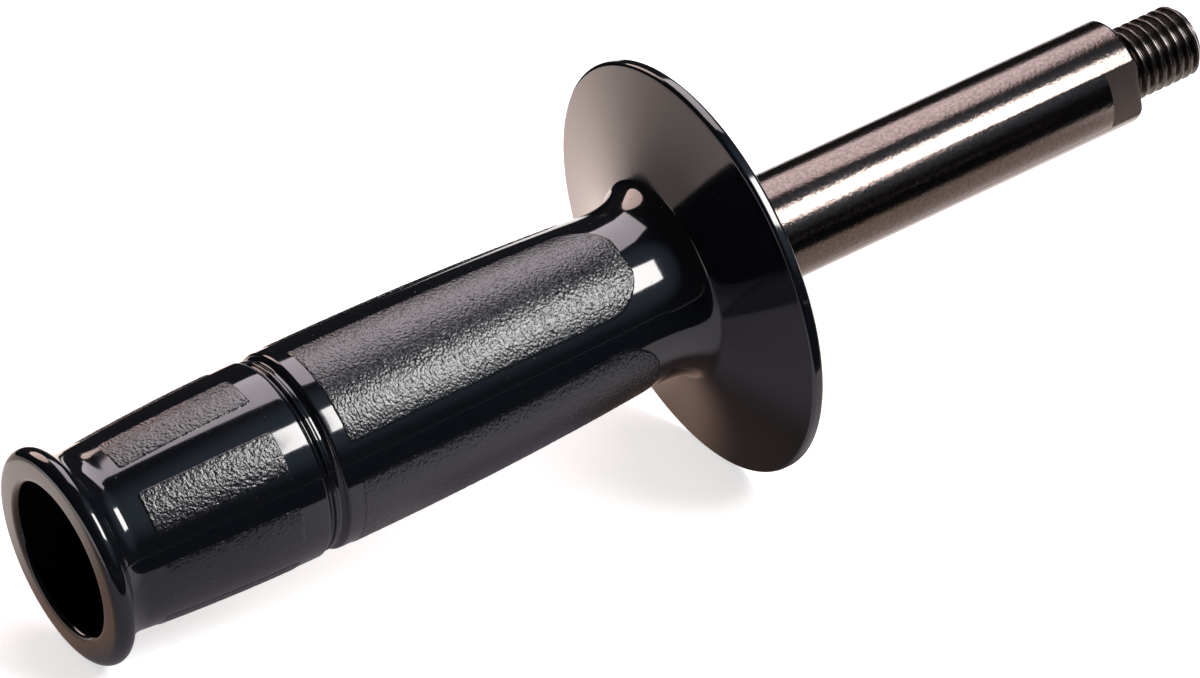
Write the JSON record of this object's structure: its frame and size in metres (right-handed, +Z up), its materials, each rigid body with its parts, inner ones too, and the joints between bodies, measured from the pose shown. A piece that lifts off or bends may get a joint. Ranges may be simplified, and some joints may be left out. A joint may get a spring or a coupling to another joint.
{
  "type": "power tool side handle",
  "caption": "Side handle for a power tool: hollow moulded grip with hand guard and rim bead, bolted on a steel spindle with wrench flats and a threaded stud.",
  "frame": {"origin": "centre of the spindle's shoulder face, which seats on the tool's boss", "axes": "+X along the handle's axis out of the threaded stud, the grip lies towards -X; +Z is up with one grained pad facing it at 45 degrees either side"},
  "size_m": [0.2437, 0.0798, 0.0798],
  "materials": {
    "grip_plastic": "glossy near-black moulded plastic, finely grained on the pads",
    "spindle_steel": "nickel plated bright rod with a warm grey tone",
    "fastener_steel": "zinc plated"
  },
  "bodies": {
    "root": {"grip_moulding": "grip_plastic", "spindle": "spindle_steel", "tail_washer": "fastener_steel", "lock_washer": "fastener_steel", "tail_nut": "fastener_steel"}
  },
  "joints": []
}
